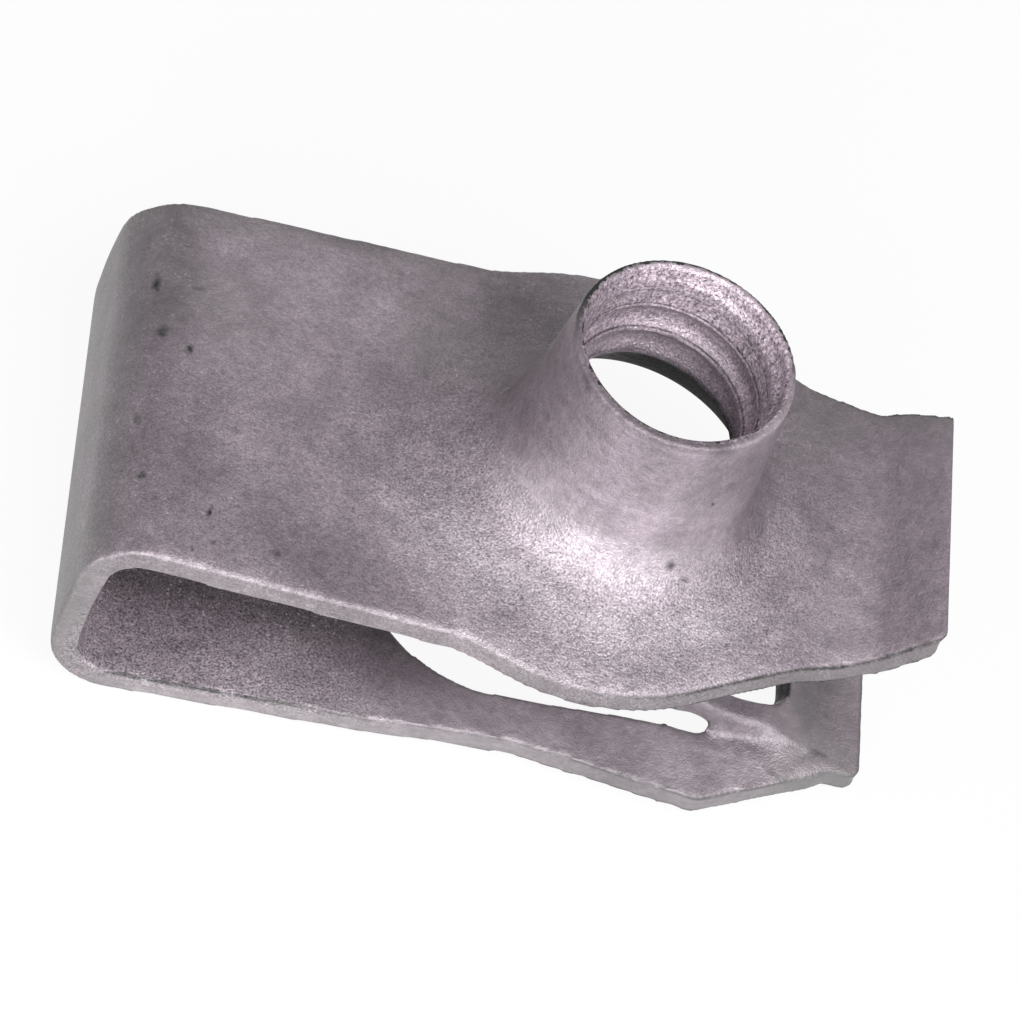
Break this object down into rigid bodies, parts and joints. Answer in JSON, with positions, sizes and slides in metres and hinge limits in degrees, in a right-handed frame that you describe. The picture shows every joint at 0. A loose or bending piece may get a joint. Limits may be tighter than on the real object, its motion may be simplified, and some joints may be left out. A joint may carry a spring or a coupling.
{
  "type": "u-nut",
  "caption": "Folded spring steel clip nut: a drawn threaded barrel on the top leg, a clearance opening with a forked tongue in the lower leg. It slides over a panel's edge to take a screw.",
  "frame": {"origin": "on the thread's axis, at the thread's lower end, where the screw enters", "axes": "+Z along the thread, from the lower leg to the barrel's rim; +X from the fold to the tips of the legs; +Y across the width"},
  "size_m": [0.0243, 0.0146, 0.0131],
  "materials": {
    "coated_steel": "satin grey zinc-flake coating with a fine sparkling grain"
  },
  "bodies": {
    "root": {"u_nut": "coated_steel"}
  },
  "joints": []
}
